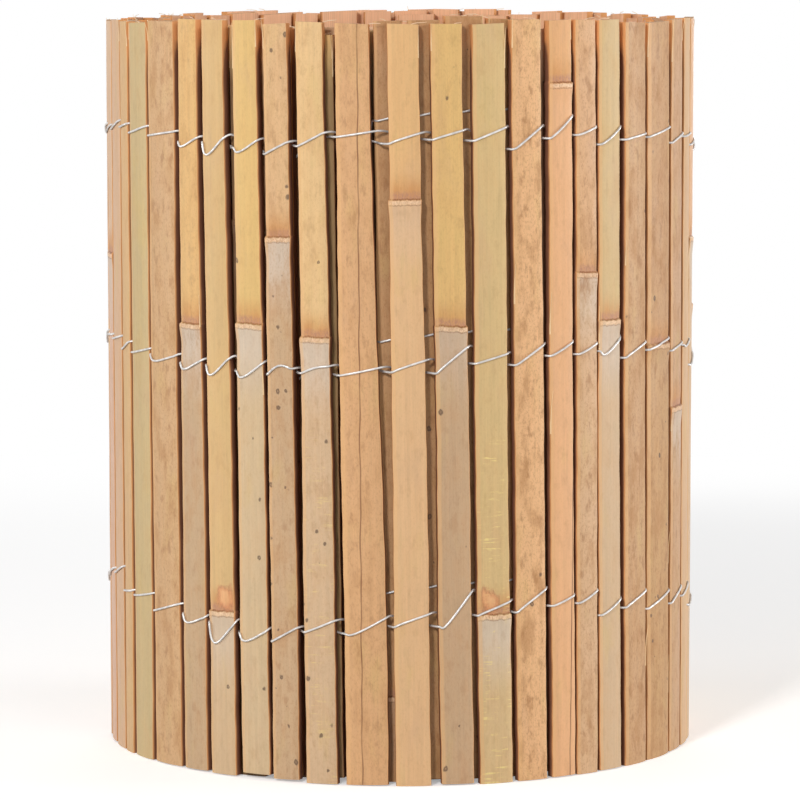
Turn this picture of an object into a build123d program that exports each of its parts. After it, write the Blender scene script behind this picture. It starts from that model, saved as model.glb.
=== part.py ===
from build123d import *
import os
from math import cos, pi, radians, sin, sqrt
from random import Random

# A low garden fence of split bamboo slats, rolled up and standing on end.
# Three rows of twisted wire bind the slats. Sizes are in millimetres.
# Angles run round the roll from the front, -Y, towards +X, and heights from the floor.

# The roll
outer_diameter = 246.8
turn_count = 4.37
free_end_angle = -89.5
named_slats = 47

# A slat. Inner slats are a little shorter than the outer ones, but longer at the back of the roll.
slat_length = 300.0
slat_thickness = 4.2
culm_radius = 45.0
outer_length_spread = 1.0
inner_length_spread = 1.5
inner_shortfall = 1.0
back_rise = 2.5
knuckle_band = 3.0
knuckle_height = 0.5

# Slat widths and the spare gaps between slats, beyond the room that a wire takes there
slat_width = 13.5
slat_width_spread = 3.0
spare_gap = 0.1
spare_gap_spread = 2.0

# Slats from the free end across the front: width as a share of slat_width, gap to the next slat
# as a share of spare_gap_spread, and the knuckle's place along the slat, 0 where there is none.
front_slats = [
    (0.81, 0.1, 0),
    (1.04, 0.1, 0.68),
    (1.0, 0.1, 0),
    (0.63, 0.0, 0),
    (1.17, 0.0, 0),
    (1.26, 0.75, 0),
    (0.9, 0.45, 0.6),
    (0.89, 0.78, 0.22),
    (0.925, 0.0, 0.605),
    (0.81, 0.75, 0.72),
    (0.92, 0.86, 0.59),
    (1.24, 1.0, 0),
    (1.0, 1.02, 0.77),
    (0.95, 0.66, 0.605),
    (0.99, 0.58, 0.225),
    (0.96, 0.55, 0),
    (0.79, 0.18, 0.92),
    (0.745, 0.0, 0.67),
    (0.865, 0.9, 0.605),
    (1.02, 0.25, 0),
    (1.35, 0.2, 0.565),
    (1.0, 0.0, 0.475),
    (0.89, 0.3, 0),
    (1.04, 0.2, 0.7),
]

# Knuckles of the outer slats that the front doesn't show lie between these shares of the length.
lowest_knuckle = 0.15
highest_knuckle = 0.9
variation_seed = 4

# Slats lean along the mat by this much for each millimetre of height, most at the front.
lean = 0.0115
lean_swing = 0.003

# The wires
wire_diameter = 0.9
wire_sides = 3
wire_rise = 8.0
bottom_row_height = 62.5
top_row_depth = 48.0
middle_row_lift = 7.5
row_wander = 4.5
row_waves = 3
row_low_angle = -38.0

# Room left between a wire and what it passes
clearance = 0.15

# Worked out from the sizes above
wire_radius = wire_diameter / 2
wire_room = wire_diameter + 2 * clearance
turn_pitch = slat_thickness + wire_room
wire_offset = slat_thickness / 2 + clearance + wire_radius
first_radius = outer_diameter / 2 - slat_thickness / 2
top_row_height = slat_length - top_row_depth
middle_row_height = (bottom_row_height + top_row_height) / 2 + middle_row_lift
start_angle = radians(free_end_angle)


def spiral_radius(angle):
    """Distance of the middle of the mat from the roll's axis."""
    return first_radius - turn_pitch * (angle - start_angle) / (2 * pi)


def row_height(middle, angle):
    """Height of a wire row, which wanders a little round the roll."""
    return middle - row_wander * cos(row_waves * (angle - radians(row_low_angle)))


class Slat:
    """One slat's sizes and its place in the roll."""

    def __init__(self, angle, width, length, knuckle):
        radius = spiral_radius(angle)
        slope = -turn_pitch / (2 * pi)
        self.angle = angle
        self.width = width
        self.length = length
        self.knuckle = knuckle
        self.centre = Vector(radius * sin(angle), -radius * cos(angle))
        self.along = Vector(
            slope * sin(angle) + radius * cos(angle), radius * sin(angle) - slope * cos(angle)
        ).normalized()
        self.outward = Vector(self.along.Y, -self.along.X)
        self.slope = lean + lean_swing * cos(2 * angle)

    def at(self, height):
        """Middle of the slat's section at a height."""
        shift = self.along * (self.slope * (slat_length / 2 - height))
        return self.centre + shift + Vector(0, 0, height)

    def reach(self, height):
        """How far in front of the slat's middle a wire passes, over the knuckle where it meets one."""
        near = knuckle_band + wire_diameter + wire_rise / 2
        crosses = self.knuckle > 0 and abs(self.knuckle - height) < near
        return wire_offset + (knuckle_height if crosses else 0)


def lay_out_slats():
    """Slats in their order along the mat, from the free outer end to the inner end."""
    draw = Random(variation_seed)
    slats = []
    edge = start_angle
    while edge < start_angle + 2 * pi * turn_count:
        outside = edge < start_angle + 2 * pi
        if len(slats) >= len(front_slats):
            width = slat_width + slat_width_spread * draw.uniform(-1, 1)
            spare = spare_gap + spare_gap_spread * draw.random() ** 2
            share = draw.choice([0, draw.uniform(lowest_knuckle, highest_knuckle)])
        else:
            width_share, gap_share, share = front_slats[len(slats)]
            width = slat_width * width_share
            spare = spare_gap_spread * gap_share
        inner_radius = spiral_radius(edge) - slat_thickness / 2
        angle = edge + width / 2 / inner_radius
        if outside:
            length = slat_length + outer_length_spread * draw.uniform(-1, 1)
        else:
            length = slat_length + inner_length_spread * draw.uniform(-1, 1)
            length -= inner_shortfall + back_rise * cos(angle)
        slats.append(Slat(angle, width, length, share * slat_length if outside else 0))
        edge = angle + (width / 2 + wire_room + spare) / inner_radius
    return slats


def slat_section(width, raised=0.0):
    """Section across a slat: a flat split face inside and the culm's crown outside."""
    half = width / 2
    inside = slat_thickness / 2
    shoulder = culm_radius - sqrt(culm_radius**2 - half**2) - inside
    outline = [
        Line((half, shoulder), (half, inside)),
        Line((half, inside), (-half, inside)),
        Line((-half, inside), (-half, shoulder)),
        ThreePointArc((-half, shoulder), (0, -inside - raised), (half, shoulder)),
    ]
    return make_face(outline)


def prism(slat, section, low, high):
    """A length of slat that follows the slat's lean, with level ends."""
    bottom = slat.at(low)
    plane = Plane(origin=bottom, x_dir=slat.along, z_dir=(0, 0, 1))
    return Solid.extrude((plane * section).face(), slat.at(high) - bottom)


def slat_solid(slat):
    """A slat, with the ridge of its knuckle where it has one."""
    body = prism(slat, slat_section(slat.width), 0, slat.length)
    if slat.knuckle == 0:
        return body
    low = slat.knuckle - knuckle_band / 2
    ridge = prism(slat, slat_section(slat.width, knuckle_height), low, low + knuckle_band)
    return (body + ridge).solid()


def cross(a, b):
    """Cross product of two vectors seen from above."""
    return a.X * b.Y - a.Y * b.X


def between(before, after, height):
    """Middle of the gap between two neighbouring slats at a height."""
    right_edge = before.at(height) + before.along * (before.width / 2)
    left_edge = after.at(height) - after.along * (after.width / 2)
    return (right_edge + left_edge) / 2


def beside(slat, offset, gap, height):
    """Point in the radial plane of a gap, on the slat's face line moved outward by an offset."""
    start = slat.centre + slat.outward * offset
    step = -cross(start, gap) / cross(slat.along, gap)
    point = start + slat.along * step
    return Vector(point.X, point.Y, height)


def behind(before, after, height):
    """Point where the lines behind two neighbouring slats meet."""
    start = before.centre - before.outward * wire_offset
    other = after.centre - after.outward * wire_offset
    step = cross(other - start, after.along) / cross(before.along, after.along)
    point = start + before.along * step
    return Vector(point.X, point.Y, height)


def woven_points(slats, middle, phase):
    """A strand that passes in front of every other slat, rising, and behind the rest, falling."""
    first = slats[0]
    entry_level = row_height(middle, first.angle)
    entry = first.at(entry_level) - first.along * (first.width / 2 + wire_room)
    tail_side = 1 if phase == 0 else -1
    points = [entry + first.outward * (tail_side * wire_diameter)]
    for index, (slat, follower) in enumerate(zip(slats, slats[1:])):
        in_front = (index + phase) % 2 == 0
        exit_level = row_height(middle, (slat.angle + follower.angle) / 2)
        exit_gap = between(slat, follower, exit_level)
        offset = slat.reach(exit_level) if in_front else -wire_offset
        half_rise = wire_rise / 2 if in_front else -wire_rise / 2
        points.append(beside(slat, offset, entry, entry_level - half_rise))
        points.append(beside(slat, offset, exit_gap, exit_level + half_rise))
        entry, entry_level = exit_gap, exit_level
    return points


def plain_points(slats, middle):
    """The same strand further in, behind each slat of the inner turns."""
    points = [
        behind(slat, follower, row_height(middle, (slat.angle + follower.angle) / 2))
        for slat, follower in zip(slats, slats[1:])
    ]
    last = slats[-1]
    level = row_height(middle, last.angle)
    end = last.at(level) + last.along * (last.width / 2 + wire_room)
    return points + [beside(last, -wire_offset, end, level)]


def strand(points):
    """A wire along straight runs, made face by face, with its section mitred at each corner."""
    runs = [(after - before).normalized() for before, after in zip(points, points[1:])]
    start = Plane(origin=points[0], z_dir=runs[0])
    turns = [2 * pi * side / wire_sides for side in range(wire_sides)]
    ring = [start.from_local_coords(Vector(cos(turn), sin(turn)) * wire_radius) for turn in turns]
    rings = [ring]
    for point, run, following in zip(points[1:], runs, runs[1:] + runs[-1:]):
        mitre = run + following
        ring = [corner + run * ((point - corner).dot(mitre) / run.dot(mitre)) for corner in ring]
        rings.append(ring)
    outlines = [rings[0], rings[-1]]
    for ring, next_ring in zip(rings, rings[1:]):
        for side in range(wire_sides):
            outlines.append([ring[side - 1], ring[side], next_ring[side], next_ring[side - 1]])
    return Solid(Shell([Face(Wire.make_polygon(outline)) for outline in outlines]))


def row_strands(slats, outer_count, middle):
    """The two strands of a wire row: one ends with the outer turn and one goes on to the inner end."""
    woven = slats[: outer_count + 1]
    inner = slats[outer_count:]
    crossing = inner[0]
    pair = {}
    for phase in (0, 1):
        points = woven_points(woven, middle, phase)
        level = points[-1].Z
        gap = between(woven[-2], crossing, level)
        if (outer_count + phase) % 2 == 0:
            points.append(beside(crossing, -wire_radius, gap, level))
            pair["outer"] = strand(points)
        else:
            points.append(beside(crossing, -wire_offset, gap, level))
            pair["through"] = strand(points + plain_points(inner, middle))
    return pair


def count_outer(slats):
    """How many slats lie in the outer turn, clear of the wire ends at the free end."""
    room = 2 * wire_room + spare_gap + spare_gap_spread + 2 * wire_diameter
    limit = start_angle + 2 * pi - room / first_radius
    return sum(slat.angle + slat.width / 2 / first_radius < limit for slat in slats)


def build_nodes():
    """Every named piece of the roll about the spiral's own axis."""
    slats = lay_out_slats()
    outer_count = count_outer(slats)
    nodes = {}
    for number, slat in enumerate(slats[:named_slats], 1):
        nodes[f"outer_slat_{number:02d}"] = slat_solid(slat)
    turns = {}
    for slat in slats[named_slats:]:
        turn = max(2, 1 + int((slat.angle - start_angle) / (2 * pi)))
        turns.setdefault(turn, []).append(slat_solid(slat))
    for turn, solids in turns.items():
        nodes[f"turn_{turn}_slats"] = Compound(solids)
    rows = {"bottom": bottom_row_height, "middle": middle_row_height, "top": top_row_height}
    for row, middle in rows.items():
        for course, wire in row_strands(slats, outer_count, middle).items():
            nodes[f"{row}_wire_{course}"] = wire
    return nodes


def main():
    """Write every piece with the middle of the roll's footprint at the origin."""
    nodes = build_nodes()
    box = Compound(list(nodes.values())).bounding_box()
    centre = box.center()
    to_origin = Location((-centre.X, -centre.Y, -box.min.Z))
    os.makedirs("parts", exist_ok=True)
    for name, shape in nodes.items():
        export_step(shape.moved(to_origin), f"parts/{name}.step")


main()
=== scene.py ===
"""Looks of the bamboo fence roll: split slats with knuckles, woven wire rows, floor, light and camera."""

from math import cos, pi, radians, sin
from random import Random

import bpy
import numpy as np
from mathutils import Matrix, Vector


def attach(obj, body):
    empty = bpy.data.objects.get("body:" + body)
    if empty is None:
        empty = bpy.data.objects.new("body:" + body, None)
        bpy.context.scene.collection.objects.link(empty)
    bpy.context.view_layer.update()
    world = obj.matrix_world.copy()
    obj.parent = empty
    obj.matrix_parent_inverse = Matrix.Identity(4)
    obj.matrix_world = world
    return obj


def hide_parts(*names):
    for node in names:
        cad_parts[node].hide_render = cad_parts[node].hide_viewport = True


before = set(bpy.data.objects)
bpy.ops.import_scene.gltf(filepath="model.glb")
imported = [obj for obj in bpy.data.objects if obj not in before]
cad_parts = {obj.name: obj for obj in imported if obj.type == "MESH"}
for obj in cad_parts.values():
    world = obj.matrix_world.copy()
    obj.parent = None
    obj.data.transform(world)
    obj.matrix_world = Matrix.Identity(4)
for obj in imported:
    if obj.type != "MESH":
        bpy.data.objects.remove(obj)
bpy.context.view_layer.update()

# Sizes in millimetres, apart from the stage's, which are in metres
MM = 0.001
WIRE_RADIUS = 0.45
CULM_RADIUS = 45.0
ROWS = ("bottom", "middle", "top")
# Height and depth at which the gap between two slats is measured, and the middle of a slat's thickness
GAUGE_HEIGHT = 150.0
GAUGE_DEPTH = 2.0
HALF_THICKNESS = 2.1

# Skin tones as they look in the picture, 0 to 255: above the knuckle, then below it.
# Slats across the front have their own, and the rest draw from all of them.
FRONT_TONES = {
    1: ((224, 192, 168), (226, 188, 163)), 2: ((222, 188, 156), (222, 183, 157)),
    3: ((216, 178, 143), (212, 172, 137)), 4: ((215, 176, 128), (214, 176, 130)),
    5: ((203, 177, 129), (206, 180, 122)), 6: ((210, 169, 124), (204, 166, 122)),
    7: ((222, 178, 116), (197, 165, 128)), 8: ((214, 178, 124), (209, 178, 139)),
    9: ((222, 184, 119), (210, 182, 143)), 10: ((219, 178, 131), (202, 168, 131)),
    11: ((227, 189, 136), (213, 180, 143)), 12: ((221, 172, 124), (221, 172, 123)),
    13: ((227, 181, 125), (226, 183, 136)), 14: ((223, 182, 117), (198, 164, 128)),
    15: ((212, 181, 128), (213, 182, 134)), 16: ((230, 181, 132), (229, 180, 133)),
    17: ((224, 170, 118), (228, 175, 128)), 18: ((220, 174, 130), (214, 174, 134)),
    19: ((208, 177, 127), (209, 177, 140)), 20: ((202, 159, 115), (195, 153, 109)),
    21: ((199, 155, 111), (199, 155, 106)), 22: ((205, 164, 127), (205, 164, 124)),
    23: ((215, 177, 137), (205, 173, 139)), 24: ((226, 182, 146), (213, 181, 147)),
}
# How strongly a front slat is clouded with brown, and how many dark specks it has
FRONT_MOTTLE = {
    6: 0.9, 7: 0.5, 10: 0.6, 11: 0.4, 12: 0.6, 14: 0.35, 16: 1.0, 18: 0.9, 20: 1.0, 21: 1.0, 22: 0.7,
}
FRONT_SPECKS = {8: 0.3, 9: 0.6, 10: 2.2, 11: 0.8, 14: 0.4, 16: 0.6, 20: 0.4, 21: 0.8}

# How much narrower than the CAD slat the real one is at its top, at the left and the right edge
FRONT_TAPER = {
    7: (0.9, 1.2), 8: (0.0, 1.3), 9: (0.0, 1.5), 10: (0.0, 0.8), 11: (0.2, 1.2),
    12: (0.1, 3.2), 13: (0.0, 1.4), 14: (0.0, 0.5), 16: (0.0, 0.4), 20: (0.0, 0.4),
}
# Scar of a bud above a knuckle: its place across the slat, from the middle
FRONT_BUDS = {8: 1.5, 15: -2.5}
# How much pale wax lies below a front slat's knuckle, where it isn't the full amount
FRONT_WAX = {8: 0.7, 13: 0.25, 14: 0.5, 17: 0.0, 18: 0.8, 21: 0.1}
# How far a front slat's foot stays above the floor
FRONT_FEET = {6: 0.4, 7: 0.6, 8: 0.4, 9: 2.2, 10: 1.0, 12: 0.3, 14: 0.6, 15: 0.0, 17: 0.5}
# Light scratches across a front slat's skin
FRONT_RUBS = {11: 0.5, 15: 1.0}
# A dry crack in the skin, at these shares of the half width at the top and at the bottom
FRONT_SEAMS = {12: (0.08, -0.2), 17: (1.7, 0.45)}

# The wire over the front slats, read from the photo, from the slat that stands first:
# height at the slat's left edge, at its right edge and, where it dips between them, how far
FRONT_STROKES = {
    "bottom": (2, [
        (70, 73), (72, 76), (66.5, 67), (66.5, 68.5), (62, 66.5), (63, 62, 3), (62, 61, 8), (58, 60, 3),
        (56, 62), (60.5, 65.5), (60.5, 67, 1.2), (63.5, 68.5), (63.5, 76.5, 2.5), (67.5, 72.5), (68, 76.5),
        (69.5, 73), (69.5, 74), (63.5, 69), (65, 70.5), (62.5, 68), (62, 67.5), (63, 67),
    ]),
    "middle": (2, [
        (170, 170.5), (169, 171), (166, 169.5), (165.5, 168), (166, 166.5, 2.4), (164, 164.5, 2.5),
        (165, 167, 4), (162.5, 166, 2.7), (162, 164.5, -2.4), (163, 166, -0.8), (162.5, 165), (164.5, 168.5),
        (163.5, 173.5), (167, 170.5), (166, 173.5, 0.4), (169, 174), (169, 173), (169.5, 174, 2), (166, 171.5),
        (168, 171.5), (166, 168.5), (167, 168.5, 1),
    ]),
    "top": (3, [
        (255.5, 259), (256.5, 258), (254.5, 257.5), (254, 256), (252, 253, 2), (253, 254, 5),
        (250.5, 253.5, 2), (248.5, 253), (252, 256.5), (256, 257.5), (253, 257), (254.5, 258), (254, 259),
        (250.5, 259, 0.7), (254.5, 263), (255.5, 258.5), (251.5, 258), (253, 255), (253.5, 257), (250.5, 254),
        (252.5, 253.5), (248.5, 250.5),
    ]),
}
# Second-turn slats that show through the front gaps: their angles in degrees, how far the wire over
# them lies above its row, their looks and how much taller than the solid they are
SEEN_BEHIND = (-6.0, 26.0)
HOP = {"bottom": 13.0, "middle": 10.0, "top": 9.0}
SEEN_TONES = ((196, 150, 104), (188, 142, 100))
SEEN_WAX = 0.2
SEEN_MOTTLE = 1.0
SEEN_RISE = 4.5
# Painted shade of the slat that shows in the open seam beside the free end
SEAM_SHADE = 0.12

# Tones of all that the slats have in common, and of the wire, 0 to 255
TONES = dict(
    skin_straw=(212, 184, 112), skin_rose=(200, 158, 128), knuckle_scar=(203, 142, 84),
    wax=(212, 195, 177), torn_sheath=(186, 134, 108), lip_pale_and_highlight=(242, 206, 168),
    lip_dark=(200, 150, 116), under_lip=(150, 104, 72), knuckle_line=(140, 88, 54),
    bud_middle=(236, 178, 128), bud_outside=(214, 142, 98), bud_rim=(172, 116, 82),
    stain=(172, 126, 82), blotch=(160, 112, 70), pores=(164, 112, 66), scratch=(234, 214, 140),
    worn_edge=(230, 180, 124), crack=(128, 82, 52), speck=(92, 70, 56), inner_shade=(92, 60, 44),
    split_dark=(222, 158, 112), split_light=(240, 186, 146), split_fresh=(252, 196, 156),
    split_knuckle=(178, 120, 76), side_fresh=(224, 160, 104), side_painted_shade=(132, 88, 66),
    end_dark=(206, 154, 106), end_light=(234, 192, 148), end_dots=(138, 92, 58),
    sliver=(238, 206, 158), hair=(246, 220, 186), wire_dark=(196, 193, 190),
    wire_light=(228, 225, 222),
)


def linear(tone):
    """Scene-linear colour of a tone written from 0 to 255."""
    shares = [c / 255 for c in tone]
    return [s / 12.92 if s <= 0.04045 else ((s + 0.055) / 1.055) ** 2.4 for s in shares] + [1.0]


def ease(x, low, high):
    """Smooth step from 0 at low to 1 at high."""
    t = np.clip((x - low) / (high - low), 0, 1)
    return t * t * (3 - 2 * t)


def add_object(name, data):
    made = bpy.data.objects.new(name, data)
    bpy.context.scene.collection.objects.link(made)
    return made


def angle_of(point):
    """A point's angle about the roll's axis, 0 at the front and positive to the right."""
    return np.arctan2(point[0], -point[1])


# Slats

# How far a slat's edge wanders: by its bow, by its own waves, just below the lip and further down
BOW = 0.3
EDGE_WAVE = 0.22
LIP_SWELL = 0.4
LOWER_SWELL = 0.15
# What an edge leaves free to the middle of the gap, and how much more within reach of a wire
EDGE_CLEARANCE = 0.06
WIRE_CLEARANCE = 0.46
WIRE_REACH = 9
# Least room beside an edge, and the room at the mat's two ends
LEAST_ROOM = 0.55
END_ROOM = 0.6
# Heights between which a front slat tapers, and between which its scratches end
TAPER_SPAN = (60, 290)
SCRATCH_END = (125, 150)
# Reach of the slant at the top and the foot, and where below the top the painted shade ends
TOP_SLANT = 12
FOOT_SLANT = 6
SHADE_END = (22, 4)
# The knuckle's lip and the scar above it, and the skin's waves
LIP_HEIGHT = 0.55
SCAR_DEPTH = 0.22
SKIN_WAVE = 0.05
# A bud's height above the lip, and how much taller than wide it is
BUD_HEIGHT = 5.5
BUD_STRETCH = 0.75
# Height above the knuckle where a slat has none, and distance to a bud or crack where it has none
NO_KNUCKLE = 400.0
FAR = 99.0
# Shift of the shaders' patterns from one slat to the next
PATTERN_STEP = 7.31

# Around a slat's section: inner face, right side, crown and left side
CROWN_SHARES = (0.86, 0.6, 0.3, 0.0, -0.3, -0.6, -0.86)
SKIN, SPLIT, END, SIDE = 0, 1, 2, 3
SECTION_KINDS = [SPLIT] * 3 + [SIDE] * 4 + [SKIN] * 8 + [SIDE] * 4
SKIN_START, SKIN_SPAN = 7, 7
LEFT_SIDE = 15
# How deep each point of the section lies below the skin's edge, as a share of the thickness
DEPTHS = np.array([1, 1, 1, 1, 0.9, 0.45, 0.1, 0, 0, 0, 0, 0, 0, 0, 0, 0, 0.1, 0.45, 0.9])
# Worn corners: inset of the back, its bevel, and insets and drops at the skin's edge
BACK_INSET = 0.3
BEVEL_IN, BEVEL_UP = 0.05, 0.25
SKIN_CORNER = ((0.02, 0.5), (0.14, 0.16))
CROWN_INSET = 0.35
# Roughness of the sides, the split face's hollow and its swelling at a knuckle
SIDE_ROUGHNESS = 0.06
HOLLOW, HOLLOW_WAVE = 0.1, 0.05
WALL_SWELL, SWELL_REACH = 0.35, 2.2
# Steps between rings, and their heights about a knuckle
RING_STEP = 3.5
INNER_RING_STEP = 11.0
KNUCKLE_RINGS = (-8, -5, -3, -1.8, -1.0, -0.55, -0.25, 0.0, 0.3, 0.6, 1.0, 1.8, 3.0, 5.0, 7.0)


class Drift:
    """Smooth random wander between about -1 and 1 along a slat."""

    def __init__(self, draw, *lengths):
        self.waves = [(2 * pi / (n * draw.uniform(0.75, 1.3)), draw.uniform(0, 2 * pi)) for n in lengths]

    def __call__(self, z):
        return sum(np.sin(rate * z + phase) for rate, phase in self.waves) / len(self.waves)


def solids_of(cad_node):
    """The node's separate solids, as corner points in millimetres and each face's normal and area."""
    mesh = cad_node.data
    points = np.array([v.co for v in mesh.vertices]) / MM
    keys = {}
    welded = [keys.setdefault(tuple(np.round(p, 3)), len(keys)) for p in points]
    group = list(range(len(keys)))

    def root(i):
        while group[i] != i:
            group[i] = group[group[i]]
            i = group[i]
        return i

    for face in mesh.polygons:
        first = root(welded[face.vertices[0]])
        for v in face.vertices:
            group[root(welded[v])] = first
    found = {}
    for face in mesh.polygons:
        corners, faces = found.setdefault(root(welded[face.vertices[0]]), ([], []))
        corners.extend(points[v] for v in face.vertices)
        faces.append((np.array(face.normal), face.area))
    return [(np.array(corners), faces) for corners, faces in found.values()]


class Slat:
    """A slat's place and size, read from the CAD solid, and the small unevenness of the real one."""

    def __init__(self, name, number, corners, faces):
        self.name = name
        self.number = number
        self.outer = name.startswith("outer")
        self.room = [END_ROOM, END_ROOM]
        self.levels = []
        self.read_form(corners, faces)
        draw = Random(1000 + number)
        self.draw_form(draw)
        self.draw_looks(draw)
        if number in FRONT_TONES:
            self.take_front_looks()

    def read_form(self, corners, faces):
        """Place, lean, width, thickness and knuckle of the CAD solid."""
        middle = (corners.min(0) + corners.max(0)) / 2
        radial = np.array([middle[0], middle[1], 0]) / np.hypot(*middle[:2])
        inner = sum(normal * area for normal, area in faces if normal @ radial < -0.9)
        self.outward = -inner[:2] / np.hypot(*inner[:2])
        self.along = np.array([-self.outward[1], self.outward[0]])
        u, v, z = corners[:, :2] @ self.along, corners[:, :2] @ self.outward, corners[:, 2]
        self.length = z.max()
        low, high = z < 0.01, z > self.length - 0.01
        self.foot = (u[low].min() + u[low].max()) / 2
        self.slope = ((u[high].min() + u[high].max()) / 2 - self.foot) / self.length
        self.half = (u[low].max() - u[low].min()) / 2
        self.back = v.min()
        self.thick = v[low].max() - self.back
        ridge = z[v > v[low].max() + 0.1]
        self.knuckle = float(ridge.mean()) if len(ridge) else None
        angle = np.degrees(angle_of(middle))
        self.seen = self.name == "turn_2_slats" and SEEN_BEHIND[0] < angle < SEEN_BEHIND[1]
        if self.seen:
            self.length += SEEN_RISE

    def draw_form(self, draw):
        """Bow, edges, waves and the kink at the knuckle."""
        self.bow = Drift(draw, 420, 260)
        self.edges = [Drift(draw, 90, 41, 17), Drift(draw, 97, 37, 19)]
        self.wave = Drift(draw, 120, 55)
        self.kink = draw.uniform(-0.35, 0.35)
        self.skew = draw.uniform(-0.05, 0.05)
        self.seam = FRONT_SEAMS.get(self.number)
        self.taper = FRONT_TAPER.get(self.number, (0.0, 0.0))

    def draw_looks(self, draw):
        """Painted shade, bud scar, ends, marks, tones and, on the inner turns, a knuckle."""
        self.shade = 0.0 if self.outer or self.seen else draw.uniform(0.5, 0.75)
        self.bud = draw.choice((None, None, None, -1.5, 1.5))
        self.lift = draw.uniform(0.0, 0.8) if self.outer else draw.uniform(0.0, 2.0)
        self.tilt = draw.uniform(-0.05, 0.05)
        self.rock = draw.uniform(-0.02, 0.02)
        self.mottle = draw.choice((0.2, 0.4, 0.7, 1.0))
        self.specks = draw.choice((0.0, 0.0, 0.3, 0.7))
        self.rubs = draw.choice((0.0, 0.0, 0.2, 0.5))
        self.wax = FRONT_WAX.get(self.number, 1.0)
        if self.seen:
            self.wax = SEEN_WAX
            self.mottle = SEEN_MOTTLE
        self.tones = SEEN_TONES if self.seen else draw.choice(list(FRONT_TONES.values()))
        if not self.outer and draw.random() < 0.55:
            heights = (draw.uniform(95, 150), draw.uniform(185, 225), draw.uniform(20, 45))
            self.knuckle = draw.choice(heights)

    def take_front_looks(self):
        """The looks that the photo shows on a front slat."""
        self.tones = FRONT_TONES[self.number]
        self.mottle = FRONT_MOTTLE.get(self.number, 0.25)
        self.specks = FRONT_SPECKS.get(self.number, 0.0)
        self.rubs = FRONT_RUBS.get(self.number, 0.0)
        self.bud = FRONT_BUDS.get(self.number)
        self.lift = FRONT_FEET.get(self.number, self.lift * 0.5)

    def place(self, u, v, z):
        """Points in the frame from slat coordinates: u from the middle line, v from the back."""
        flat = np.multiply.outer(self.foot + u + self.slope * z, self.along)
        flat = flat + np.multiply.outer(self.back + v, self.outward)
        return np.concatenate([flat, np.asarray(z + 0 * u)[..., None]], -1)

    def above(self, z):
        """Height above the knuckle's lip, far above it where there is none."""
        return z - self.knuckle if self.knuckle else z + NO_KNUCKLE

    def edge(self, side, z):
        """The left (0) or right (1) edge, kept clear of the next slat and of the wires between."""
        sign = 1 if side else -1
        above = self.above(z)
        push = BOW * self.bow(z) + self.kink * (ease(above, -2, 2) - 0.5)
        push = sign * push + EDGE_WAVE * self.edges[side](z)
        swell = LIP_SWELL * ease(above, -9, -0.5) * (1 - ease(above, -0.2, 0.8))
        push = push + swell + LOWER_SWELL * (1 - ease(above, -30, 0))
        near = np.max([np.exp(-(((z - level) / WIRE_REACH) ** 4)) for level in self.levels], 0)
        limit = self.room[side] - EDGE_CLEARANCE - WIRE_CLEARANCE * near
        return sign * (self.half + np.minimum(push, limit) - self.taper[side] * ease(z, *TAPER_SPAN))

    def relief(self, z):
        """How far the skin stands out from the CAD crown: gentle waves and the knuckle's lip."""
        above = self.above(z)
        lip = LIP_HEIGHT * ease(above, -8, -0.6) * (1 - ease(above, -0.3, 0.5))
        scar = -SCAR_DEPTH * ease(above, -0.2, 0.6) * (1 - ease(above, 1.0, 7.0))
        return (lip + scar) * (1.0 if self.outer else 0.5) + SKIN_WAVE * self.wave(z)

    def crown(self, u, z):
        """Height of the skin above the inner face."""
        drop = CULM_RADIUS - np.sqrt(CULM_RADIUS**2 - u**2)
        return self.thick - drop + self.relief(z) + self.rock * u


def read_slats():
    """Every slat in its order along the mat, from the free outer end inwards."""
    found = []
    # A turn's node keeps its solids in their order along the mat
    for start in ("outer_slat", "turn_"):
        for name in sorted(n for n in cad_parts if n.startswith(start)):
            for corners, faces in solids_of(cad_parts[name]):
                found.append(Slat(name, len(found) + 1, corners, faces))
    for before, after in zip(found, found[1:]):
        right = before.place(before.half, GAUGE_DEPTH, GAUGE_HEIGHT)
        gap = after.place(-after.half, GAUGE_DEPTH, GAUGE_HEIGHT) - right
        before.room[1] = after.room[0] = max(LEAST_ROOM, np.hypot(*gap[:2]) / 2)
    return found


def section(slat, z):
    """Points round the slat at heights z, with the edges worn round."""
    left, right = slat.edge(0, z), slat.edge(1, z)
    middle, half = (left + right) / 2, (right - left) / 2
    rough = SIDE_ROUGHNESS * slat.edges[0](z * 2.3)
    hollow = HOLLOW + HOLLOW_WAVE * slat.wave(z * 1.7)
    if slat.knuckle:
        hollow = hollow - WALL_SWELL * np.exp(-((slat.above(z) / SWELL_REACH) ** 2))
    top_right, top_left = slat.crown(right, z), slat.crown(left, z)
    loop = [(left + BACK_INSET, 0 * z), (middle - 0.45 * half, hollow), (middle + 0.45 * half, hollow)]
    loop += [(right - BACK_INSET, 0 * z), (right - BEVEL_IN, 0 * z + BEVEL_UP)]
    loop.append((right + rough, 0.5 * top_right))
    loop += [(right - inset, top_right - drop) for inset, drop in SKIN_CORNER]
    for share in CROWN_SHARES:
        u = middle + share * (half - CROWN_INSET)
        loop.append((u, slat.crown(u, z)))
    loop += [(left + inset, top_left - drop) for inset, drop in reversed(SKIN_CORNER)]
    loop += [(left + rough, 0.5 * top_left), (left + BEVEL_IN, 0 * z + BEVEL_UP)]
    return np.array(loop).transpose(1, 0, 2)


def ring_heights(slat):
    """Heights of the rings, closer together at the ends and at the knuckle."""
    step = RING_STEP if slat.outer else INNER_RING_STEP
    heights = set(np.round(np.linspace(0, slat.length, int(slat.length / step) + 1), 3))
    heights |= {0.5, 1.6, round(slat.length - 0.5, 3), round(slat.length - 1.6, 3)}
    if slat.knuckle:
        heights |= {round(slat.knuckle + offset, 3) for offset in KNUCKLE_RINGS}
    return np.array(sorted(heights))


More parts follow.
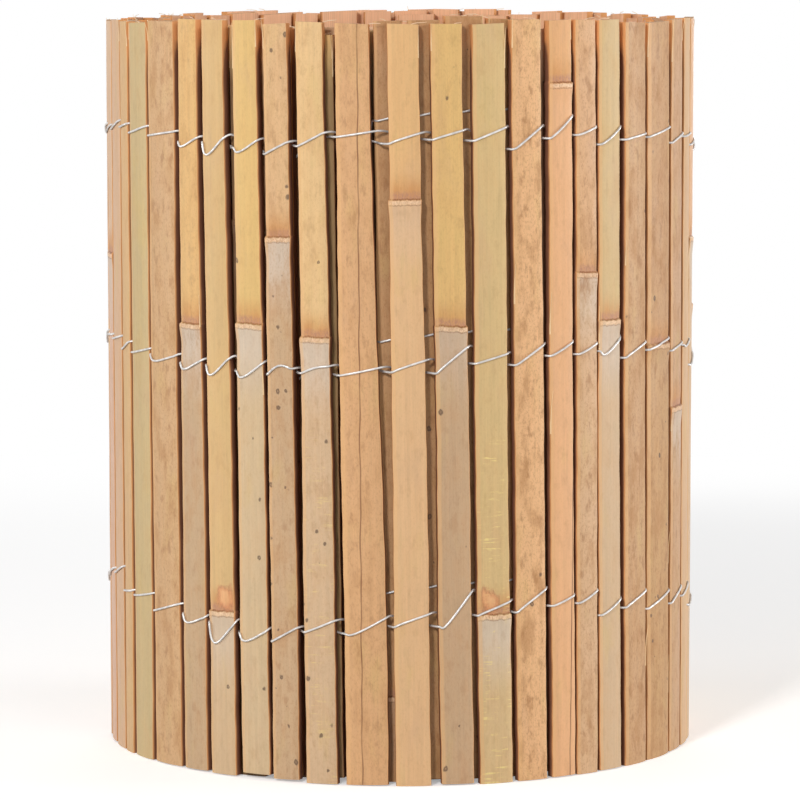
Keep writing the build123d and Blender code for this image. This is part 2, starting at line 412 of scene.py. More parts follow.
def slat_faces(around, rings):
    """Faces between the rings and over both ends, with their materials."""
    index = np.arange(around * rings).reshape(rings, around)
    following = np.roll(index, -1, 1)
    quads = np.stack([index[:-1], index[1:], following[1:], following[:-1]], -1).reshape(-1, 4).tolist()
    ends = [index[0].tolist(), index[-1][::-1].tolist()]
    return quads + ends, SECTION_KINDS * (rings - 1) + [END, END]


def slat_values(slat, z, u, tall):
    """The values that the shaders read at the points of a slat."""
    around, rings = u.shape
    count = around * rings
    skin_share = (np.arange(around) - SKIN_START) / SKIN_SPAN
    rim = np.where((skin_share >= -0.01) & (skin_share <= 1.01), np.abs(skin_share * 2 - 1), 1.0)
    # The painted shade ends below the top, where the light reaches
    lit = np.repeat(1 - ease(z, *(slat.length - below for below in SHADE_END)), around)
    marks = np.tile([slat.mottle, slat.specks, 0.0], (count, 1))
    marks[:, 2] = slat.shade * lit
    depth = DEPTHS.copy()
    # The free end's left side lies open to the light
    if slat.number == 1:
        depth[LEFT_SIDE:] *= 0.25
    bud = np.full(count, FAR)
    if slat.bud and slat.knuckle:
        bud = np.hypot(u - slat.bud, (tall - slat.knuckle - BUD_HEIGHT) * BUD_STRETCH).T.reshape(-1)
    seam = np.full(count, FAR)
    if slat.seam:
        top_share, bottom_share = slat.seam
        share = bottom_share + (top_share - bottom_share) * z / slat.length + 0.03 * slat.wave(z * 3)
        seam = (u - share * slat.half).T.reshape(-1)
    pattern = np.full_like(u, slat.number * PATTERN_STEP)
    return {
        "place": np.stack([u, tall, pattern], -1).transpose(1, 0, 2).reshape(-1, 3),
        "above": (slat.above(z) + slat.skew * u).T.reshape(-1),
        "rim": np.tile(rim, rings),
        "upper": np.tile(linear(slat.tones[0]), (count, 1)),
        "lower": np.tile(linear(slat.tones[1]), (count, 1)),
        "marks": marks,
        "depth": np.tile(depth, rings) * lit,
        "bud": bud,
        "wax": np.full(count, slat.wax),
        "rubs": slat.rubs * np.repeat(1 - ease(z, *SCRATCH_END), around),
        "seam": seam,
    }


def slat_mesh(slat):
    """Points, faces, face materials and shader values of one slat."""
    z = ring_heights(slat)
    u, v = section(slat, z)
    tall = np.broadcast_to(z, u.shape).copy()
    top, bottom = ease(z, slat.length - TOP_SLANT, slat.length), 1 - ease(z, 0, FOOT_SLANT)
    tall += top * (slat.tilt * u - abs(slat.tilt) * slat.half)
    tall += bottom * (slat.lift + abs(slat.tilt) * 0.4 * (slat.half + u))
    points = slat.place(u, v, tall).transpose(1, 0, 2).reshape(-1, 3)
    faces, kinds = slat_faces(*u.shape)
    return points, faces, kinds, slat_values(slat, z, u, tall)


def fibre(slat, path, radius, tone):
    """A thin fibre along a path, with the values that the shaders read."""
    points, faces = tube(path, radius, 5)
    count = len(points)
    values = {
        "place": np.tile([0.0, 0.0, slat.number * PATTERN_STEP], (count, 1)),
        "above": np.full(count, NO_KNUCKLE),
        "marks": np.zeros((count, 3)),
    }
    values |= dict.fromkeys(("upper", "lower"), np.tile(linear(TONES[tone]), (count, 1)))
    values |= dict.fromkeys(("rim", "depth", "wax", "rubs"), np.zeros(count))
    values |= dict.fromkeys(("bud", "seam"), np.full(count, FAR))
    return points, faces, [SKIN] * len(faces), values


def slivers(slat):
    """Thin fibres that stand off the slat's edges, most of them at the top."""
    draw = Random(5000 + slat.number)
    parts = []
    for _ in range(draw.choice((0, 1, 1, 2, 3))):
        side = draw.choice((0, 1))
        reach = draw.uniform(6, 18)
        at_top = draw.random() < 0.7 or not slat.outer
        top = slat.length + draw.uniform(-1.5, 1.5) if at_top else draw.uniform(40, 280)
        z = np.linspace(top - reach, top, 6)
        away = np.linspace(0, 1, 6) ** 2
        root = slat.edge(side, top - reach)
        u = root * 0.97 + np.sign(root) * draw.uniform(-0.6, 0.8) * away
        v = slat.crown(root, top - reach) - 0.25 + draw.uniform(0.2, 1.3) * away
        parts.append(fibre(slat, slat.place(u, v, z), np.linspace(0.28, 0.07, 6), "sliver"))
    return parts


def hairs(slat):
    """Loose fibres on the slat's sawn top."""
    draw = Random(9000 + slat.number)
    parts = []
    for _ in range(draw.choice((0, 0, 1, 2))):
        start = draw.uniform(-0.8, 0.8) * slat.half
        way = draw.choice((-1, 1)) * draw.uniform(2.5, 7.0)
        rise = draw.uniform(0.2, 1.8)
        t = np.linspace(0, 1, 8)
        u = start + way * t
        z = slat.length - 0.5 + rise * t**0.8 + 0.15 * np.sin(5 * t)
        v = slat.thick * draw.uniform(0.3, 0.8) + draw.uniform(-0.8, 0.8) * t * t
        parts.append(fibre(slat, slat.place(u, v, z), np.linspace(0.16, 0.08, 8), "hair"))
    return parts


def joined(parts):
    """The meshes of several parts as one."""
    points, faces, kinds, values, start = [], [], [], {}, 0
    for part_points, part_faces, part_kinds, part_values in parts:
        points.append(part_points)
        faces += [[i + start for i in face] for face in part_faces]
        kinds += part_kinds
        for key, array in part_values.items():
            values.setdefault(key, []).append(array)
        start += len(part_points)
    return np.concatenate(points), faces, kinds, {k: np.concatenate(a) for k, a in values.items()}


# Kind of each shader value that isn't a plain number, and the field that holds a kind's data
KINDS = dict(place="FLOAT_VECTOR", marks="FLOAT_VECTOR", upper="FLOAT_COLOR", lower="FLOAT_COLOR")
FIELDS = dict(FLOAT_VECTOR="vector", FLOAT_COLOR="color", FLOAT="value")
SHARP_ANGLE = radians(50)


def make_object(name, points, faces, kinds, values, materials):
    """A smooth-shaded object with its shader values on the points."""
    mesh = bpy.data.meshes.new(name)
    mesh.from_pydata((points * MM).tolist(), [], faces)
    for material in materials:
        mesh.materials.append(material)
    mesh.polygons.foreach_set("material_index", kinds)
    for key, array in values.items():
        kind = KINDS.get(key, "FLOAT")
        data = mesh.attributes.new(key, kind, "POINT").data
        data.foreach_set(FIELDS[kind], np.asarray(array, np.float32).ravel())
    mesh.polygons.foreach_set("use_smooth", [True] * len(faces))
    mesh.set_sharp_from_angle(angle=SHARP_ANGLE)
    return add_object(name, mesh)


# Wires

# Where the wire over a slat bends, as shares of its width, and its inset and sink at both ends
STROKE_SHARES = (0.0, 0.1, 0.24, 0.4, 0.55, 0.7, 0.85, 0.97)
STROKE_INSET = 0.25
STROKE_SINK = 0.12
# Clearance of the wire in front of a slat, behind it and behind an inner one, the least height
# between two strands in a gap, and how far below its row a strand leaves the outer turn
FRONT_CLEARANCE = 0.04
BACK_CLEARANCE = 0.06
INNER_CLEARANCE = 0.05
STRAND_ROOM = 1.5
LAST_DROP = 1.5
# Swing about the row of a stroke that the photo doesn't show, and bend of every stroke
STROKE_SWING = (1.0, 2.8)
STROKE_BEND = (0.8, 1.3)
# How far above its stroke's end a strand crosses a gap, and the share of the dip added
GAP_LIFT = 0.4
DIP_LIFT = 0.25
# A strand's tail: its points, reach, step, clearance of the edge, twist in half turns and its radius
TAIL_POINTS = 6
TAIL_REACH, TAIL_STEP = 2.6, 0.5
TAIL_CLEARANCE = 0.5
TWIST, TWIST_RADIUS = 0.55, 0.5
# Rise and fall of the wire behind an inner slat, and its ends below and above a hop
INNER_SWING = 2.2
HOP_START, HOP_END = 1.0, 1.5
# How far from a gap the CAD wire is read, and the step of the finer path
READ_REACH = 4.0
PATH_STEP = 0.9


def wire_levels():
    """Height of each wire row at the gap before every outer slat, read from the CAD wires."""
    found = {}
    for row in ROWS:
        strands = [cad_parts[f"{row}_wire_{course}"] for course in ("outer", "through")]
        points = np.array([v.co for strand in strands for v in strand.data.vertices]) / MM
        heights = []
        for slat in slats[: OUTER + 1]:
            gap = slat.place(-slat.half - slat.room[0], GAUGE_DEPTH, GAUGE_HEIGHT)
            gap = gap[:2] + slat.along * slat.slope * (points[:, 2].mean() - GAUGE_HEIGHT)
            near = points[np.hypot(points[:, 0] - gap[0], points[:, 1] - gap[1]) < READ_REACH]
            heights.append((near[:, 2].min() + near[:, 2].max()) / 2 if len(near) else heights[-1])
        found[row] = heights
    return found


def level_at(row, point):
    """A row's height at the angle of a point, between the outer turn's gaps."""
    angle = (angle_of(point) - GAP_ANGLES[0]) % (2 * pi)
    gaps = [(gap - GAP_ANGLES[0]) % (2 * pi) for gap in GAP_ANGLES]
    return float(np.interp(angle, gaps, levels[row][:OUTER]))


def wire_strokes(row, draw):
    """Each outer slat's wire heights at both edges and the dip between, apart in every gap."""
    level = levels[row]
    lows = [level[i] - draw.uniform(*STROKE_SWING) for i in range(OUTER)]
    highs = [level[i + 1] + draw.uniform(*STROKE_SWING) for i in range(OUTER)]
    dips = [draw.uniform(0.0, 2.0) for _ in range(OUTER)]
    first, read = FRONT_STROKES[row]
    for i, stroke in enumerate(read, first - 1):
        lows[i], highs[i], *dip = stroke
        dips[i] = dip[0] if dip else 0.0
    for i in range(1, OUTER):
        short = max(0.0, STRAND_ROOM - (highs[i - 1] - lows[i]))
        highs[i - 1] += short / 2
        lows[i] -= short / 2
    return lows + [level[OUTER] - LAST_DROP], highs, dips


def between(first, second, start, end, t):
    """The point at t on the line that passes first at start and second at end."""
    return (end - t) / (end - start) * first + (t - start) / (end - start) * second


def smooth_path(points, step):
    """A centripetal Catmull-Rom curve through points, sampled about every step millimetres."""
    inside = np.array(points)
    through = np.concatenate([[2 * inside[0] - inside[1]], inside, [2 * inside[-1] - inside[-2]]])
    path = []
    for i in range(1, len(through) - 2):
        four = through[i - 1 : i + 3]
        spans = np.linalg.norm(np.diff(four, axis=0), axis=1) ** 0.5 + 1e-6
        knots = np.concatenate([[0], np.cumsum(spans)])
        count = max(2, int(np.linalg.norm(four[2] - four[1]) / step))
        t = np.linspace(knots[1], knots[2], count, endpoint=False)[:, None]
        lines = [between(four[j], four[j + 1], knots[j], knots[j + 1], t) for j in range(3)]
        bends = [between(lines[j], lines[j + 1], knots[j], knots[j + 2], t) for j in range(2)]
        path.append(between(bends[0], bends[1], knots[1], knots[2], t))
    path.append(through[-2][None])
    return np.concatenate(path)


def tube(path, radius, sides=8):
    """A round wire along a path, with closed ends."""
    tangents = np.gradient(path, axis=0)
    tangents /= np.linalg.norm(tangents, axis=1)[:, None]
    side = np.cross(tangents[0], [0.3, 0.2, 0.9])
    points = []
    turn = np.arange(sides) * 2 * pi / sides
    for centre, tangent, reach in zip(path, tangents, np.broadcast_to(radius, len(path))):
        side = side - (side @ tangent) * tangent
        side /= np.linalg.norm(side)
        other = np.cross(tangent, side)
        points.append(centre + reach * (np.cos(turn)[:, None] * side + np.sin(turn)[:, None] * other))
    index = np.arange(len(path) * sides).reshape(-1, sides)
    following = np.roll(index, -1, 1)
    faces = np.stack([index[:-1], following[:-1], following[1:], index[1:]], -1).reshape(-1, 4).tolist()
    faces += [index[0][::-1].tolist(), index[-1].tolist()]
    return np.concatenate(points), faces


def front_stroke(slat, low, high, dip, bend=1.0):
    """The wire over a slat's face: out of the left gap, down a little, then up to the right gap."""
    left, right = slat.edge(0, low), slat.edge(1, high)
    lean = 0.5 if dip > 0 else 1.0
    points = []
    for share in STROKE_SHARES:
        u = left + STROKE_INSET + share * (right - left - 2 * STROKE_INSET)
        z = low + (high - low) * share**bend - dip * sin(pi * share**lean)
        lift = WIRE_RADIUS + FRONT_CLEARANCE
        if share in (STROKE_SHARES[0], STROKE_SHARES[-1]):
            lift -= STROKE_SINK
        points.append(slat.place(u, slat.crown(u, z) + lift, z))
    return points


def back_stroke(slat, high, low):
    """The wire behind a slat, falling to the right."""
    points = []
    for share in (0.06, 0.5, 0.94):
        u = -slat.half + share * 2 * slat.half
        points.append(slat.place(u, -WIRE_RADIUS - BACK_CLEARANCE, high + (low - high) * share))
    return points


def gap_point(before, after, z):
    """Middle of the gap between two slats, halfway through their thickness."""
    right = before.place(before.edge(1, z), HALF_THICKNESS, z)
    left = after.place(after.edge(0, z), HALF_THICKNESS, z)
    return (right + left) / 2


def tail(slat, level, phase):
    """The end of a strand at the free edge, twisted with its partner and tucked in."""
    points = []
    for turn in range(TAIL_POINTS):
        angle = pi * phase + turn * pi * TWIST
        reach = TAIL_REACH - TAIL_STEP * turn
        u = -slat.half - TAIL_CLEARANCE - reach
        v = HALF_THICKNESS + TWIST_RADIUS * cos(angle) - 0.15 * reach * reach
        points.append(slat.place(u, v, level + TWIST_RADIUS * sin(angle) + 0.25 * reach))
    return points


def woven_strand(row, phase):
    """A strand over every other slat of the outer turn and behind the rest."""
    lows, highs, dips = strokes[row]
    points = tail(slats[0], levels[row][0], phase)
    for i, slat in enumerate(slats[:OUTER]):
        if (i + phase) % 2 == 0:
            if i:
                points.append(gap_point(slats[i - 1], slat, lows[i]))
            bend = Random(31 * i).uniform(*STROKE_BEND)
            points += front_stroke(slat, lows[i], highs[i], dips[i], bend)
        else:
            high = highs[i - 1] if i else levels[row][0]
            if i:
                crossing = high + GAP_LIFT + DIP_LIFT * max(0.0, dips[i - 1])
                points.append(gap_point(slats[i - 1], slat, crossing))
            points += back_stroke(slat, high, lows[i + 1])
    return points


def inner_run(row):
    """The strand that goes on behind the inner turns, in front of the slats that show."""
    points = []
    behind = -WIRE_RADIUS - INNER_CLEARANCE
    for before, slat in zip(slats[OUTER - 1 :], slats[OUTER:]):
        level = level_at(row, slat.place(0.0, 0.0, 0.0))
        if slat.seen:
            level += HOP[row]
            points.append(gap_point(before, slat, level - HOP_START))
            points += front_stroke(slat, level - HOP_START, level + HOP_END, 0.0)[1:-1]
        else:
            if before.seen:
                points.append(gap_point(before, slat, level + HOP[row] + HOP_START))
            points.append(slat.place(-0.8 * slat.half, behind, level + INNER_SWING))
            points.append(slat.place(0.8 * slat.half, behind, level - INNER_SWING))
    return points


# Shader building


def plug(tree, made, inputs):
    """Sets a node's inputs, each to a value or a socket."""
    for key, value in inputs.items():
        if isinstance(value, bpy.types.NodeSocket):
            tree.links.new(value, made.inputs[key])
        else:
            made.inputs[key].default_value = value


def node(tree, kind, inputs=None, **settings):
    """A shader node with its settings and its inputs."""
    made = tree.nodes.new(f"ShaderNode{kind}")
    for key, value in settings.items():
        setattr(made, key, value)
    plug(tree, made, inputs or {})
    return made


def maths(tree, operation, *values, clamp=False):
    made = node(tree, "Math", dict(enumerate(values)), operation=operation, use_clamp=clamp)
    return made.outputs[0]


def times(tree, first, second, clamp=False):
    return maths(tree, "MULTIPLY", first, second, clamp=clamp)


def mix(tree, share, first, second, blend="MIX"):
    inputs = {0: share, 6: first, 7: second}
    return node(tree, "Mix", inputs, data_type="RGBA", blend_type=blend).outputs[2]


def layers(tree, colour, **shares):
    """The colour with a share of each named tone over it, one after the other."""
    for tone, share in shares.items():
        colour = mix(tree, share, colour, linear(TONES[tone]))
    return colour


def two_tones(tree, share, first, second):
    """A colour that goes from one named tone to another."""
    return mix(tree, share, linear(TONES[first]), linear(TONES[second]))


def ramp(tree, value, low, high, to_low=0.0, to_high=1.0):
    """A smooth change from to_low at low to to_high at high."""
    inputs = {0: value, 1: low, 2: high, 3: to_low, 4: to_high}
    return node(tree, "MapRange", inputs, interpolation_type="SMOOTHSTEP").outputs[0]


def band(tree, value, start, full, fade, end):
    """1 between full and fade, falling smoothly to 0 at start and end."""
    return times(tree, ramp(tree, value, start, full), ramp(tree, value, fade, end, 1.0, 0.0))


def value_of(tree, name, output="Fac"):
    """A value on the mesh's points."""
    return node(tree, "Attribute", attribute_name=name).outputs[output]


def parts_of(tree, name):
    """The three numbers of a vector on the mesh's points."""
    return node(tree, "SeparateXYZ", {0: value_of(tree, name, "Vector")}).outputs


def slat_noise(tree, place, across, along, shift=0.0, detail=4.0, roughness=0.6):
    """Noise in slat coordinates, with its own grain across and along the slat."""
    scaled = {
        0: times(tree, place[0], across),
        1: times(tree, place[1], along),
        2: maths(tree, "ADD", place[2], shift),
    }
    spot = node(tree, "CombineXYZ", scaled).outputs[0]
    inputs = {"Vector": spot, "Scale": 1.0, "Detail": detail, "Roughness": roughness}
    return node(tree, "TexNoise", inputs).outputs[0]


def new_material(name):
    """A material with its node tree and its surface shader."""
    material = bpy.data.materials.new(name)
    material.use_nodes = True
    tree = material.node_tree
    return material, tree, tree.nodes["Principled BSDF"]


def bump(tree, height, strength, distance):
    """Fine relief of a surface, its distance in metres."""
    inputs = {"Height": height, "Strength": strength, "Distance": distance}
    return node(tree, "Bump", inputs).outputs[0]


def tinted(tree, colour, value, spread):
    """The colour made lighter and darker by a value about 0.5."""
    return mix(tree, 1.0, colour, ramp(tree, value, 0.2, 0.8, 1 - spread, 1 + spread), "MULTIPLY")


# Materials

# The patterns of the skin: grain across and along, shift, detail and roughness
SKIN_NOISES = dict(
    streaks=(0.55, 0.009), fine=(3.2, 0.05, 3.0, 2.0), clouds=(0.16, 0.06, 9.0, 6.0, 0.65),
    blotches=(0.35, 0.14, 13.0, 5.0, 0.6), grain=(1.6, 0.8, 17.0, 4.0, 0.75),
    scratches=(0.12, 1.1, 21.0, 3.0), hue=(0.09, 0.028, 29.0), ragged=(0.5, 0.02, 5.0),
)


def culm_colour(tree, above, noise):
    """The slat's own tones above and below its knuckle, drifting to straw and rose."""
    below = ramp(tree, above, -0.3, 0.3, 1.0, 0.0)
    return layers(
        tree,
        mix(tree, below, value_of(tree, "upper", "Color"), value_of(tree, "lower", "Color")),
        skin_straw=ramp(tree, noise["hue"], 0.52, 0.75, 0.0, 0.3),
        skin_rose=ramp(tree, noise["hue"], 0.25, 0.48, 0.25, 0.0),
    )


def add_knuckle(tree, colour, above, noise):
    """The knuckle: brown scar above, wax below, torn sheath, pale lip that is partly a painted highlight, and
    dark lines.
    """
    grain, fine = noise["grain"], noise["fine"]
    cloudy = ramp(tree, noise["clouds"], 0.25, 0.7, 0.4, 0.9)
    broken = ramp(tree, noise["blotches"], 0.35, 0.6, 0.5, 0.95)
    waxy = times(tree, value_of(tree, "wax"), 0.7)
    torn = ramp(tree, grain, 0.38, 0.6, 0.3, 0.95)
    colour = layers(
        tree, colour,
        knuckle_scar=times(tree, band(tree, above, 0.3, 0.9, 1.8, 13.0), cloudy),
        wax=times(tree, band(tree, above, -36.0, -6.0, -1.9, -1.5), waxy),
        torn_sheath=times(tree, band(tree, above, 0.2, 0.6, 1.8, 4.2), torn),
    )
    # The lip's pale band: partly the ridge's own pale colour, partly a painted highlight
    lip = times(tree, band(tree, above, -1.9, -1.4, -0.4, 0.0), broken)
    lip_colour = two_tones(tree, ramp(tree, grain, 0.42, 0.65, 0.0, 0.7), "lip_pale_and_highlight", "lip_dark")
    faint, strong = ramp(tree, fine, 0.3, 0.6, 0.1, 0.6), ramp(tree, fine, 0.3, 0.6, 0.45, 0.95)
    return layers(
        tree,
        mix(tree, lip, colour, lip_colour),
        under_lip=times(tree, band(tree, above, -2.4, -2.1, -1.9, -1.6), faint),
        knuckle_line=times(tree, band(tree, above, -0.2, 0.15, 0.4, 0.9), strong),
    )


def add_bud(tree, colour, noise):
    """The scar of a bud, with a rough rim."""
    uneven = ramp(tree, noise["blotches"], 0.2, 0.8, -1.6, 1.6)
    from_bud = maths(tree, "ADD", value_of(tree, "bud"), uneven)
    bud = two_tones(tree, ramp(tree, from_bud, 1.0, 3.2), "bud_middle", "bud_outside")
    colour = mix(tree, ramp(tree, from_bud, 2.4, 5.0, 0.75, 0.0), colour, bud)
    rough = ramp(tree, noise["grain"], 0.35, 0.65, 0.0, 0.6)
    return layers(tree, colour, bud_rim=times(tree, band(tree, from_bud, 2.6, 3.4, 3.8, 5.0), rough))


def add_weather(tree, colour, noise, mottle):
    """Brown clouds, blotches and pores, light scratches, streaks, worn edges and dry cracks."""
    clouds, fine = noise["clouds"], noise["fine"]
    rubbed = times(tree, ramp(tree, noise["scratches"], 0.56, 0.66), value_of(tree, "rubs"))
    colour = layers(
        tree, colour,
        stain=times(tree, ramp(tree, clouds, 0.44, 0.68, 0.0, 0.7), mottle, clamp=True),
        blotch=times(tree, ramp(tree, noise["blotches"], 0.52, 0.7, 0.0, 0.6), mottle, clamp=True),
        pores=times(tree, ramp(tree, noise["grain"], 0.48, 0.68, 0.0, 0.5), mottle, clamp=True),
        scratch=times(tree, rubbed, ramp(tree, clouds, 0.45, 0.6, 0.0, 0.7)),
    )
    for pattern, spread in ((noise["streaks"], 0.05), (clouds, 0.08), (fine, 0.035)):
        colour = tinted(tree, colour, pattern, spread)
    from_seam = maths(tree, "ABSOLUTE", value_of(tree, "seam"))
    return layers(
        tree, colour,
        worn_edge=times(tree, ramp(tree, value_of(tree, "rim"), 0.86, 1.0), 0.45),
        crack=times(tree, ramp(tree, from_seam, 0.12, 0.4, 1.0, 0.0), ramp(tree, fine, 0.3, 0.6, 0.4, 0.9)),
    )


def add_specks(tree, colour, above, noise, place, amount):
    """Round dark specks of uneven size, more of them below the knuckle."""
    uneven_across = ramp(tree, noise["grain"], 0.2, 0.8, -0.07, 0.07)
    uneven_along = ramp(tree, noise["blotches"], 0.2, 0.8, -0.1, 0.1)
    scaled = {
        0: maths(tree, "MULTIPLY_ADD", place[0], 0.22, uneven_across),
        1: maths(tree, "MULTIPLY_ADD", place[1], 0.17, uneven_along),
        2: maths(tree, "ADD", place[2], 0.5),
    }
    spot = node(tree, "CombineXYZ", scaled).outputs[0]
    cells = node(tree, "TexVoronoi", {"Vector": spot, "Scale": 1.0})
    chance = node(tree, "SeparateColor", {0: cells.outputs["Color"]})
    size = ramp(tree, chance.outputs[0], 0.0, 1.0, 0.08, 0.24)
    from_middle = maths(tree, "DIVIDE", cells.outputs["Distance"], size)
    pale_middle = ramp(tree, from_middle, 0.0, 0.5, 0.45, 1.0)
    inside = times(tree, ramp(tree, from_middle, 0.6, 1.0, 1.0, 0.0), pale_middle)
    likely = times(tree, amount, ramp(tree, above, -0.3, 0.3, 0.45, 0.17))
    chosen = maths(tree, "GREATER_THAN", likely, chance.outputs[1])
    return layers(tree, colour, speck=times(tree, times(tree, inside, chosen), 0.8))


def skin_material():
    """The culm's outer skin: golden above a knuckle and grey below it, with scar, streaks and specks."""
    material, tree, surface = new_material("bamboo_skin")
    place = parts_of(tree, "place")
    mottle, specks, shade = parts_of(tree, "marks")
    noise = {name: slat_noise(tree, place, *look) for name, look in SKIN_NOISES.items()}
    ragged = ramp(tree, noise["ragged"], 0.2, 0.8, -0.4, 0.4)
    above = maths(tree, "ADD", value_of(tree, "above"), ragged)
    colour = culm_colour(tree, above, noise)
    colour = add_knuckle(tree, colour, above, noise)
    colour = add_bud(tree, colour, noise)
    colour = add_weather(tree, colour, noise, mottle)
    colour = add_specks(tree, colour, above, noise, place, specks)
    # Painted shade on the inner turns, standing in for the shadow deep in the gaps
    colour = layers(tree, colour, inner_shade=shade)
    roughness = ramp(tree, noise["clouds"], 0.2, 0.8, 0.46, 0.62)
    height = maths(tree, "ADD", times(tree, noise["streaks"], 0.6), times(tree, noise["fine"], 0.4))
    relief = bump(tree, height, 0.35, 0.0002)
    plug(tree, surface, {"Base Color": colour, "Roughness": roughness, "Normal": relief})
    plug(tree, surface, {"Specular IOR Level": 0.3})
    return material


def split_material():
    """Split faces on the inside: fibrous, warmer and dull, with painted light near the top."""
    material, tree, surface = new_material("bamboo_split")
    place = parts_of(tree, "place")
    fibres = slat_noise(tree, place, 2.6, 0.02, 1.0)
    clouds = slat_noise(tree, place, 0.2, 0.03, 7.0, 5.0)
    colour = two_tones(tree, ramp(tree, clouds, 0.3, 0.7), "split_dark", "split_light")
    colour = mix(tree, 0.2, colour, value_of(tree, "upper", "Color"))
    # Painted light: the split faces are lighter near the top, where light reaches over the rim
    colour = layers(tree, colour, split_fresh=ramp(tree, value_of(tree, "depth"), 0.0, 1.0, 0.75, 0.0))
    colour = tinted(tree, colour, fibres, 0.16)
    at_knuckle = times(tree, band(tree, value_of(tree, "above"), -4.0, -1.0, 1.0, 4.0), 0.4)
    colour = layers(tree, colour, split_knuckle=at_knuckle)
    plug(tree, surface, {"Base Color": colour, "Roughness": 0.75, "Specular IOR Level": 0.2})
    plug(tree, surface, {"Normal": bump(tree, fibres, 0.5, 0.0003)})
    return material


def side_material():
    """A slat's narrow sides: orange fibres beside the skin, with painted shade further into the gap."""
    material, tree, surface = new_material("bamboo_side")
    fibres = slat_noise(tree, parts_of(tree, "place"), 2.6, 0.02, 1.0)
    # Painted shade: darker deeper in the gap, fading out near the top where light reaches
    colour = two_tones(tree, ramp(tree, value_of(tree, "depth"), 0.02, 0.3), "side_fresh", "side_painted_shade")
    colour = tinted(tree, colour, fibres, 0.16)
    plug(tree, surface, {"Base Color": colour, "Roughness": 0.8, "Specular IOR Level": 0.15})
    return material


def end_material():
    """Sawn ends: pale, with the dark dots of the fibre bundles."""
    material, tree, surface = new_material("bamboo_end")
    position = node(tree, "TexCoord").outputs["Object"]
    dots = node(tree, "TexVoronoi", {"Vector": position, "Scale": 1500.0}).outputs["Distance"]
    clouds = node(tree, "TexNoise", {"Vector": position, "Scale": 260.0, "Detail": 4.0}).outputs[0]
    colour = two_tones(tree, ramp(tree, clouds, 0.3, 0.7), "end_dark", "end_light")
    colour = layers(tree, colour, end_dots=ramp(tree, dots, 0.15, 0.45, 0.38, 0.0))
    plug(tree, surface, {"Base Color": colour, "Roughness": 0.85, "Normal": bump(tree, dots, 0.5, 0.0003)})
    return material


def wire_material():
    """Galvanised wire: pale, a little cloudy."""
    material, tree, surface = new_material("galvanised_wire")
    position = node(tree, "TexCoord").outputs["Object"]
    clouds = node(tree, "TexNoise", {"Vector": position, "Scale": 420.0, "Detail": 3.0}).outputs[0]
    colour = two_tones(tree, ramp(tree, clouds, 0.3, 0.7), "wire_dark", "wire_light")
    roughness = ramp(tree, clouds, 0.3, 0.7, 0.45, 0.32)
    plug(tree, surface, {"Base Color": colour, "Roughness": roughness, "Metallic": 0.35})
    return material


# Floor, light and camera

FLOOR_HALF = 8.0
FLOOR_BOUNCE = (0.55, 0.55, 0.55, 1)
FLOOR_GLOW = 0.35
# Distances from the roll's axis between which the floor fades to white
FLOOR_FADE = (0.62, 1.0)
WHITE = (1, 1, 1, 1)
WORLD_LIGHT = 0.25
# Soft boxes: name, angle to the right of the front and above the floor in degrees, size and power
LIGHTS = (
    ("key", -21, 25, (0.3, 0.3), 23.5),
    ("back_fill", 176, 7, (1.2, 0.5), 15),
    ("front_fill", 28, 12, (0.8, 0.6), 7),
    ("right_fill", 92, 5, (1.0, 0.5), 27),
    ("left_fill", -85, 5, (1.0, 0.5), 15),
)
LIGHT_DISTANCE = 2.2
ROLL_MIDDLE = Vector((0, 0, 0.15))
# The camera that fits the photo's perspective: place, tilt down in degrees and lens in mm
CAMERA_PLACE = (0, -1.703, 0.320)
CAMERA_TILT = 6.02
CAMERA_LENS = 183.6


def studio_rays(tree):
    """1 for the rays that show the white studio: to the camera, and in gloss or through glass."""
    path = node(tree, "LightPath")
    mirrored = maths(tree, "MAXIMUM", path.outputs["Is Glossy Ray"], path.outputs["Is Transmission Ray"])
    return maths(tree, "MAXIMUM", path.outputs["Is Camera Ray"], mirrored)


def floor_material():
    """A pale floor that fades to white away from the roll."""
    material, tree, surface = new_material("studio_floor")
    position = node(tree, "TexCoord").outputs["Object"]
    distance = node(tree, "VectorMath", {0: position}, operation="LENGTH").outputs["Value"]
    seen = studio_rays(tree)
    colour = mix(tree, seen, FLOOR_BOUNCE, WHITE)
    plug(tree, surface, {"Base Color": colour, "Roughness": 0.9, "Specular IOR Level": 0.0})
    glow = node(tree, "Emission", {"Strength": times(tree, seen, FLOOR_GLOW)})
    lit = node(tree, "AddShader", {0: surface.outputs[0], 1: glow.outputs[0]})
    white = node(tree, "Emission")
    share = times(tree, seen, ramp(tree, distance, *FLOOR_FADE))
    whole = node(tree, "MixShader", {0: share, 1: lit.outputs[0], 2: white.outputs[0]})
    plug(tree, tree.nodes["Material Output"], {"Surface": whole.outputs[0]})
    return material


def make_floor():
    """The floor under the roll, a part of the stage."""
    mesh = bpy.data.meshes.new("floor")
    corners = [(x * FLOOR_HALF, y * FLOOR_HALF, 0) for x, y in ((-1, -1), (1, -1), (1, 1), (-1, 1))]
    mesh.from_pydata(corners, [], [(0, 1, 2, 3)])
    mesh.materials.append(floor_material())
    floor = add_object("floor", mesh)


def make_world():
    """White all round for the studio's rays, and dimmer for the light that it gives."""
    world = bpy.data.worlds.new("studio")
    world.use_nodes = True
    bpy.context.scene.world = world
    tree = world.node_tree
    strength = node(tree, "Mix", {0: studio_rays(tree), 2: WORLD_LIGHT, 3: 1.0}).outputs[0]
    plug(tree, tree.nodes["Background"], {"Strength": strength, "Color": WHITE})


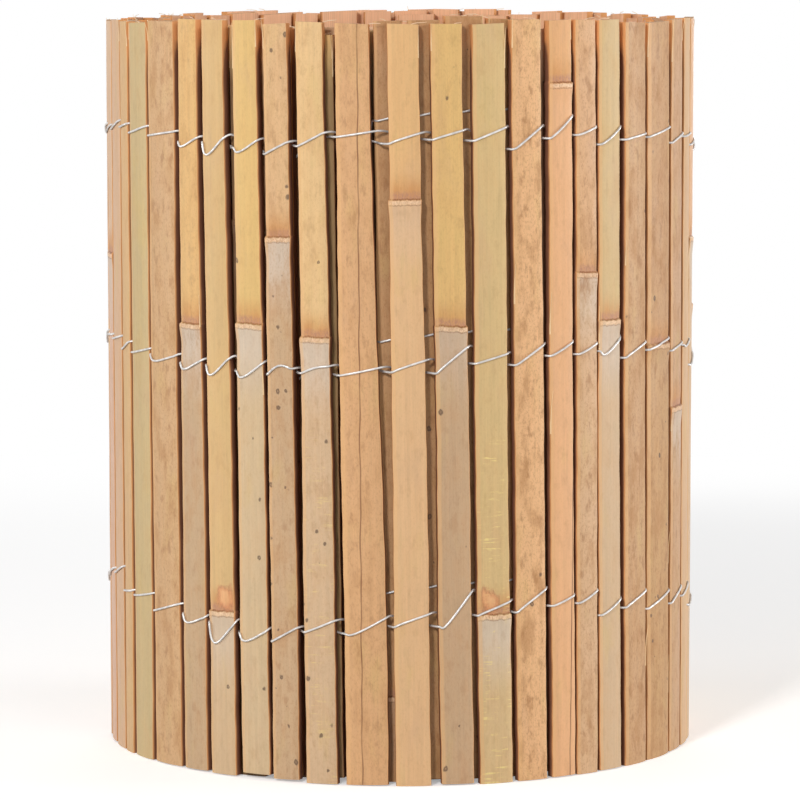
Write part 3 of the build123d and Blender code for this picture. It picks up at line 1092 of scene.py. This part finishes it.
def area_light(name, azimuth, elevation, size, power):
    """A soft box that faces the roll's middle."""
    data = bpy.data.lights.new(name, "AREA")
    data.shape = "RECTANGLE"
    data.size, data.size_y = size
    data.energy = power
    light = add_object(name, data)
    right, up = radians(azimuth), radians(elevation)
    back = Vector((sin(right) * cos(up), -cos(right) * cos(up), sin(up)))
    light.location = ROLL_MIDDLE + back * LIGHT_DISTANCE
    light.rotation_mode = "QUATERNION"
    light.rotation_quaternion = back.to_track_quat("Z", "Y")
    light.visible_camera = False


def make_camera():
    camera = add_object("camera", bpy.data.cameras.new("camera"))
    camera.data.lens = CAMERA_LENS
    camera.location = CAMERA_PLACE
    camera.rotation_euler = (radians(90 - CAMERA_TILT), 0, 0)
    bpy.context.scene.camera = camera


# Slats and wire rows, read from the frame

slats = read_slats()
OUTER = sum(slat.outer for slat in slats)
slats[OUTER].shade = SEAM_SHADE
levels = wire_levels()
GAP_ANGLES = [angle_of(slat.place(-slat.half, GAUGE_DEPTH, GAUGE_HEIGHT)) for slat in slats[:OUTER]]
strokes = {row: wire_strokes(row, Random(row)) for row in ROWS}
for i, slat in enumerate(slats):
    middle = slat.place(0.0, 0.0, GAUGE_HEIGHT)
    slat.levels = [level_at(row, middle) for row in ROWS]
    if slat.seen:
        slat.levels += [level_at(row, middle) + HOP[row] for row in ROWS]
    if slat.outer:
        slat.levels += [height for row in ROWS for height in (strokes[row][0][i], strokes[row][1][i])]

# Pieces

bamboo = [skin_material(), split_material(), end_material(), side_material()]
wire = wire_material()

by_node = {}
for slat in slats:
    parts = by_node.setdefault(slat.name, [])
    parts.append(slat_mesh(slat))
    if slat.outer or slat.name == "turn_2_slats":
        parts += slivers(slat)
    parts += hairs(slat)
for name, parts in by_node.items():
    piece = make_object(f"{name}_look", *joined(parts), bamboo)
    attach(piece, "root")
    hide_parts(name)

for row in ROWS:
    for phase in (0, 1):
        points = woven_strand(row, phase)
        goes_on = (OUTER + phase) % 2 == 1
        if goes_on:
            points += inner_run(row)
        name = f"{row}_wire_through" if goes_on else f"{row}_wire_outer"
        wire_points, faces = tube(smooth_path(points, PATH_STEP), WIRE_RADIUS)
        piece = make_object(f"{name}_look", wire_points, faces, [0] * len(faces), {}, [wire])
        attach(piece, "root")
        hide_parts(name)

# Stage

make_floor()
make_world()
for light in LIGHTS:
    area_light(*light)
make_camera()
bpy.context.scene.view_settings.view_transform = "Standard"
